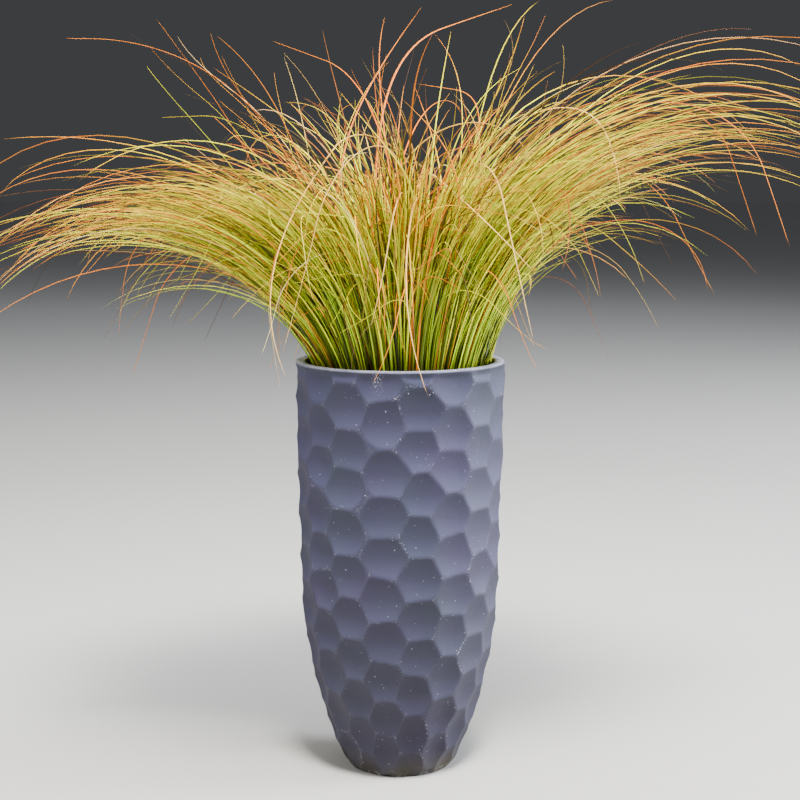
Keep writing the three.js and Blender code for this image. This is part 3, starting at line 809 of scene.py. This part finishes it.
def draw_lock_leaf(draws, lock):
    """One leaf of a lock: the law, moved by what the lock shares and by a little of its own."""
    facing = drawn_to_lobes(lock["facing"] + draws.near(0, APART_FACING))
    side = side_at(facing)
    share = clamp(lock["share"] * SHARE_STRETCH + draws.near(*SHARE_APART), 0, SHARE_MOST)
    habit = dict(
        facing=facing,
        root_angle=math.radians(lock["facing"] + draws.near(0, APART_ROOT)),
        root_radius=CROWN_RADIUS * share,
        lean=number_at(side, "lean", share) + lock["lean"] + draws.near(0, APART_LEAN),
        tip=number_at(side, "tip", share) + lock["tip"] + draws.near(0, APART_TIP),
        grown=lock["length"] * (1 + draws.near(0, APART_GROWN)),
        bend=side["bend"] * lock["bend"] * (1 + draws.near(0, APART_BEND)),
        veer=lock["veer"] + draws.near(0, APART_VEER),
        full=1,
        warmth=lock["warmth"],
        shade=lock["shade"],
        curl=draws.between(0, 2 * math.pi),
        wave=abs(draws.near(0, APART_WAVE)),
    )
    habit["length"] = number_at(side, "long", share) * habit["grown"]
    if draws.next() < DROOP_SHARE:
        habit["tip"] += draws.between(*DROOP)
    return habit


def draw_wild_leaf(draws, tuft):
    """A leaf that goes its own way: upright, then bent over and aside near its end."""
    habit = draw_habit(draws, tuft)
    habit["lean"] *= draws.between(*WILD_UPRIGHT)
    habit["tip"] = draws.between(*WILD_TIP)
    habit["bend"] = draws.between(*WILD_BEND)
    habit["full"] = draws.between(*WILD_FULL)
    habit["veer"] = draws.between(*WILD_VEER)
    habit["length"] = max(habit["length"], WILD_LEAST) * draws.between(*WILD_GROWN)
    habit["wave"] = abs(draws.near(0, WILD_WAVE))
    habit["curl"] = draws.between(0, 2 * math.pi)
    habit["wild"] = True
    return habit


def grow_more_leaves(draws, tuft):
    """The leaves that the solids leave out, most of them in locks, and free to cross one another."""
    grown = []
    lock = draw_lock(draws, tuft)
    while len(grown) < tuft["more"]:
        wild = draws.next() < tuft["wild"]
        if lock["left"] <= 0:
            lock = draw_lock(draws, tuft)
        habit = draw_wild_leaf(draws, tuft) if wild else draw_lock_leaf(draws, lock)
        lock["left"] -= 1
        steps = STEPS if habit["length"] > SHORT else FEW_STEPS
        line = growth_line(habit, FINE_STEPS if wild else steps)
        if clears_planter(line) and within_box(line, WILD_CEILING if wild else LOCK_CEILING):
            grown.append((habit, line))
    return grown


# Leaf colours from root to tip
def colour_stops(*stops):
    """A function that gives the colours at shares of a leaf's length."""
    places = [place for place, _ in stops]
    colours = np.array([linear(*colour) for _, colour in stops])
    return lambda along: np.column_stack([np.interp(along, places, colours[:, i]) for i in range(3)])


LIVING = colour_stops((0, (136, 138, 14)), (0.1, (162, 200, 20)), (0.35, (216, 254, 34)),
                      (0.58, (248, 246, 34)), (0.74, (255, 200, 16)), (0.9, (255, 144, 8)),
                      (1, (255, 168, 48)))
ORANGE = colour_stops((0, (176, 110, 6)), (0.2, (248, 162, 4)), (0.6, (255, 142, 4)), (1, (255, 158, 28)))
GREEN = colour_stops((0, (110, 126, 6)), (0.3, (158, 200, 4)), (0.7, (216, 228, 8)), (1, (250, 208, 34)))
STRAW = colour_stops((0, (190, 150, 60)), (0.3, (246, 204, 90)), (1, (250, 212, 136)))
KINDS = (LIVING, GREEN, ORANGE, STRAW)
KIND_SHARES = (0.68, 0.88, 0.96)
WILD_KIND_SHARES = (0.35, 0.39, 0.82)
RIPE_LENGTH = 560  # millimetres from the root at which a leaf has turned orange
RIPE_MIDDLE, RIPE_SPREAD = -0.03, 0.32  # how far a leaf is ahead of the others in turning
RIPE_ROOT = 0.15  # the share of this that shows at the root already
# Each leaf's brightness, at random: partly its own tone, partly painted shade for the darkest and painted
# highlight for the brightest
DIMMEST, BRIGHT_SPAN, BRIGHT_POWER = 0.03, 1.6, 1.35
GREEN_SHARES, BLUE_SHARES = (0.8, 1.04), (0.2, 1.2)
BRIGHTEST = 0.97
CROWN_COLOUR = (74, 58, 34)


def leaf_colours(draws, count, habit):
    """Colours at count places along one leaf, of one of the tussock's four kinds."""
    along = np.linspace(0, 1, count)
    along = 0.5 * along + 0.5 * np.minimum(along * habit["length"] / RIPE_LENGTH, 1)
    shares = WILD_KIND_SHARES if "wild" in habit else KIND_SHARES
    ramp = KINDS[int(np.searchsorted(shares, draws.next(), side="right"))]
    shift = draws.near(RIPE_MIDDLE, RIPE_SPREAD) + habit.get("warmth", 0)
    # Painted shade and painted highlight, with the leaf's own tone: a wide spread of brightness for each leaf
    # and its lock
    bright = (DIMMEST + BRIGHT_SPAN * draws.next() ** BRIGHT_POWER) * habit.get("shade", 1)
    bright = bright * np.array([1, draws.between(*GREEN_SHARES), draws.between(*BLUE_SHARES)])
    return np.minimum(ramp(np.clip(along + shift * (along + RIPE_ROOT), 0, 1)) * bright, BRIGHTEST)


# Leaf meshes: three edges, flat above and keeled below, to a point
def taper(along):
    return (1 - along ** 4) ** 0.75


def fine_taper(along):
    return (1 - along ** 3.2) ** 0.9


class LeafMesh:
    """Collects leaves into one mesh, each with its own cell of the UV map."""

    def __init__(self, leaves):
        self.grid = math.ceil(math.sqrt(leaves))
        self.points, self.faces, self.colours, self.uv = [], [], [], []
        self.total = 0
        self.leaves = 0

    def add(self, line, width, keel, facing, colours, thinning=fine_taper):
        """A leaf along a line, flat side up where it leaves the crown, with a colour at each step."""
        count = len(line)
        tangent = np.gradient(line, axis=0)
        tangent /= np.linalg.norm(tangent, axis=1)[:, None]
        side = np.array([-math.sin(math.radians(facing)), math.cos(math.radians(facing)), 0.0])
        across = np.empty_like(line)
        for i, along in enumerate(tangent):
            side = side - along * (along @ side)
            side /= np.linalg.norm(side)
            across[i] = side
        under = np.cross(across, tangent)
        share = thinning(np.linspace(0, 1, count))[:-1, None]
        middle = line[:-1].copy()
        middle[0] -= tangent[0] * BLADE_SUNK
        rings = np.stack([middle + across[:-1] * width * share / 2,
                          middle - across[:-1] * width * share / 2,
                          middle + under[:-1] * keel * np.maximum(share, TIP_KEEL)], axis=1)
        start = self.total
        self.points.append(np.concatenate([rings.reshape(-1, 3), line[-1:]]))
        for ring in range(count - 2):
            a, b = start + 3 * ring, start + 3 * (ring + 1)
            self.faces += [(a + i, a + (i + 1) % 3, b + (i + 1) % 3, b + i) for i in range(3)]
        last, tip = start + 3 * (count - 2), start + 3 * (count - 1)
        self.faces += [(last + i, last + (i + 1) % 3, tip) for i in range(3)]
        self.faces.append((start, start + 2, start + 1))
        self.colours.append(np.concatenate([np.repeat(colours[:-1], 3, axis=0), colours[-1:]]))
        column, row = self.leaves % self.grid, self.leaves // self.grid
        along = np.append(np.repeat(np.linspace(0, 1, count)[:-1], 3), 1)
        aside = np.append(np.tile([0.2, 0.8, 0.5], count - 1), 0.5)
        self.uv.append(np.column_stack([column + aside, row + 0.1 + 0.8 * along]) / self.grid)
        self.total += 3 * (count - 1) + 1
        self.leaves += 1

    def piece(self, name, material):
        """The collected leaves as one piece of the scene."""
        made = add_piece(name, np.concatenate(self.points), self.faces, material)
        set_point_colours(made, "leaf_colour", np.concatenate(self.colours))
        set_uv(made, np.concatenate(self.uv))
        return made


def add_crown(mesh, tuft):
    """The tuft's wedge of the crown: a low mound of old leaf bases."""
    spokes, rings = CROWN_SPOKES, CROWN_RINGS
    half = math.radians(HALF_SECTOR)
    start = mesh.total
    points = []
    for ring in range(rings + 1):
        for spoke in range(spokes + 1):
            share = ring / rings
            turn = math.radians(tuft["facing"]) + half * (2 * spoke / spokes - 1)
            radius = 2 + (CROWN_RADIUS + 2) * share
            x, y = radius * math.cos(turn), radius * math.sin(turn)
            z = CROWN_TOP + 2 + (CROWN_EDGE - CROWN_TOP - 2) * share
            z += 1.2 * noise.noise(Vector((x / 6, y / 6, 1.0)))
            points.append((CROWN_X + x, y, z))
    row = spokes + 1
    top = len(points)
    points += [(x, y, CROWN_BOTTOM + FIT_GAP) for x, y, _ in points]
    faces = []
    for ring in range(rings):
        for spoke in range(spokes):
            a = start + ring * row + spoke
            faces.append((a, a + row, a + row + 1, a + 1))
            faces.append((a + top + 1, a + top + row + 1, a + top + row, a + top))
    border = list(range(row))
    border += [ring * row + spokes for ring in range(1, rings + 1)]
    border += [rings * row + spoke for spoke in range(spokes - 1, -1, -1)]
    border += [ring * row for ring in range(rings - 1, 0, -1)]
    for a, b in zip(border, border[1:] + border[:1]):
        faces.append((start + a, start + b, start + top + b, start + top + a))
    mesh.points.append(np.array(points))
    mesh.faces += faces
    mesh.colours.append(np.tile(linear(*CROWN_COLOUR), (len(points), 1)))
    mesh.uv.append(np.full((len(points), 2), 0.999))
    mesh.total += len(points)


def make_tussock(material):
    """For each tuft, the blades that stand for its solid and the added leaves, and then the strands."""
    growth, more, tint = Draws(GROWTH_SEED), Draws(MORE_SEED), Draws(TINT_SEED)
    for tuft in TUFTS:
        blades = grow_solid_blades(growth, tuft)
        mesh = LeafMesh(len(blades) + 1)
        for habit, line in blades:
            colours = leaf_colours(tint, len(line), habit)
            mesh.add(line, BLADE_WIDTH, BLADE_KEEL, habit["facing"], colours, taper)
        add_crown(mesh, tuft)
        piece = mesh.piece("leaves_" + tuft["name"], material)
        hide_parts(tuft["name"])
        leaves = grow_more_leaves(more, tuft)
        mesh = LeafMesh(len(leaves))
        for habit, line in leaves:
            width = tint.between(*LEAF_WIDTHS)
            colours = leaf_colours(tint, len(line), habit)
            mesh.add(line, width, width * KEEL_SHARE, habit["facing"], colours)
        mesh.piece("more_" + tuft["name"], material)
    mesh = LeafMesh(len(STRANDS))
    for i, numbers in enumerate(STRANDS):
        habit = dict(zip(STRAND_KEYS, numbers), grown=1, wave=0, curl=0)
        habit["root_angle"] = math.radians(habit["root_angle"])
        line = growth_line(habit, FINE_STEPS)
        ramp = STRAW if i < PALE_STRANDS else ORANGE
        colours = ramp(np.linspace(0, 1, len(line)))
        width = tint.between(*STRAND_WIDTHS)
        mesh.add(line, width, width * KEEL_SHARE, habit["facing"], colours * STRAND_TINT)
    mesh.piece("single_strands", material)


# Stage
CAMERA_DISTANCE = 2.22  # metres from the planter's axis
CAMERA_HEIGHT = 0.845
CAMERA_PITCH = 7.86  # degrees below the horizon
CAMERA_LENS, CAMERA_SENSOR = 69.75, 36
FLOOR_REACH, FLOOR_DROP = 80, 0.0005
# The floor is painted paler far off: painted light that stands in for the lamps' light, which falls off
# before it gets there
NEAR_FLOOR, FAR_FLOOR = (0.5, 0.49, 0.47), (0.94, 0.94, 0.94)
FLOOR_PALES_FROM, FLOOR_PALE_AT = 2.5, 9
SKY_COLOUR, SKY_STRENGTH = (0.86, 0.9, 0.96, 1), 0.06

# Area lights: name, place, what it points at, size, power and colour
LIGHTS = (
    ("key", (0.3, -1.35, 3.65), (0, 0, 0.7), 0.7, 435, (1, 0.99, 0.95)),
    ("sky", (0, 0.3, 3.4), (0, 0, 0.5), 2.4, 140, (0.93, 0.96, 1)),
    ("front", (-2.6, -2.2, 1.5), (0, 0, 0.6), 1.8, 100, (1, 1, 1)),
    ("side", (5, 0.4, 1.6), (0, 0, 0.35), 2, 830, (0.88, 0.92, 1)),
)


def make_camera():
    data = bpy.data.cameras.new("camera")
    data.lens = CAMERA_LENS
    data.sensor_width = CAMERA_SENSOR
    camera = bpy.data.objects.new("camera", data)
    camera.location = (0, -CAMERA_DISTANCE, CAMERA_HEIGHT)
    camera.rotation_euler = (math.radians(90 - CAMERA_PITCH), 0, 0)
    bpy.context.scene.collection.objects.link(camera)
    bpy.context.scene.camera = camera


def add_light(name, place, target, size, power, colour):
    data = bpy.data.lights.new(name, "AREA")
    data.size = size
    data.energy = power
    data.color = colour
    light = bpy.data.objects.new(name, data)
    light.location = place
    light.rotation_euler = (Vector(target) - Vector(place)).to_track_quat("-Z", "Y").to_euler()
    bpy.context.scene.collection.objects.link(light)


def make_stage():
    """A pale floor that goes on to the horizon, a dim sky and four soft lights."""
    mesh = bpy.data.meshes.new("floor")
    corners = [(x * FLOOR_REACH, y * FLOOR_REACH, 0) for x, y in ((-1, -1), (1, -1), (1, 1), (-1, 1))]
    mesh.from_pydata(corners, [], [(0, 1, 2, 3)])
    floor = bpy.data.objects.new("floor", mesh)
    floor.location.z = -FLOOR_DROP
    bpy.context.scene.collection.objects.link(floor)
    s = Shader("pale_floor", roughness=0.8, specular=0.2)
    apart = s.node("ShaderNodeVectorMath", operation="LENGTH")
    s.link(s.node("ShaderNodeTexCoord").outputs["Object"], apart.inputs[0])
    # Painted light: paler with distance from the planter
    far = s.ramp(apart.outputs["Value"], FLOOR_PALES_FROM, FLOOR_PALE_AT)
    s.feed(s.surface.inputs["Base Color"], s.mix(far, NEAR_FLOOR, FAR_FLOOR))
    mesh.materials.append(s.material)

    world = bpy.data.worlds.new("studio")
    bpy.context.scene.world = world
    world.use_nodes = True
    background = world.node_tree.nodes["Background"]
    background.inputs["Color"].default_value = SKY_COLOUR
    background.inputs["Strength"].default_value = SKY_STRENGTH
    for light in LIGHTS:
        add_light(*light)


make_camera()
make_stage()
make_planter(make_planter_material())
soil_material = make_soil_material()
make_soil(soil_material)
make_mulch(soil_material)
make_tussock(make_leaf_material())
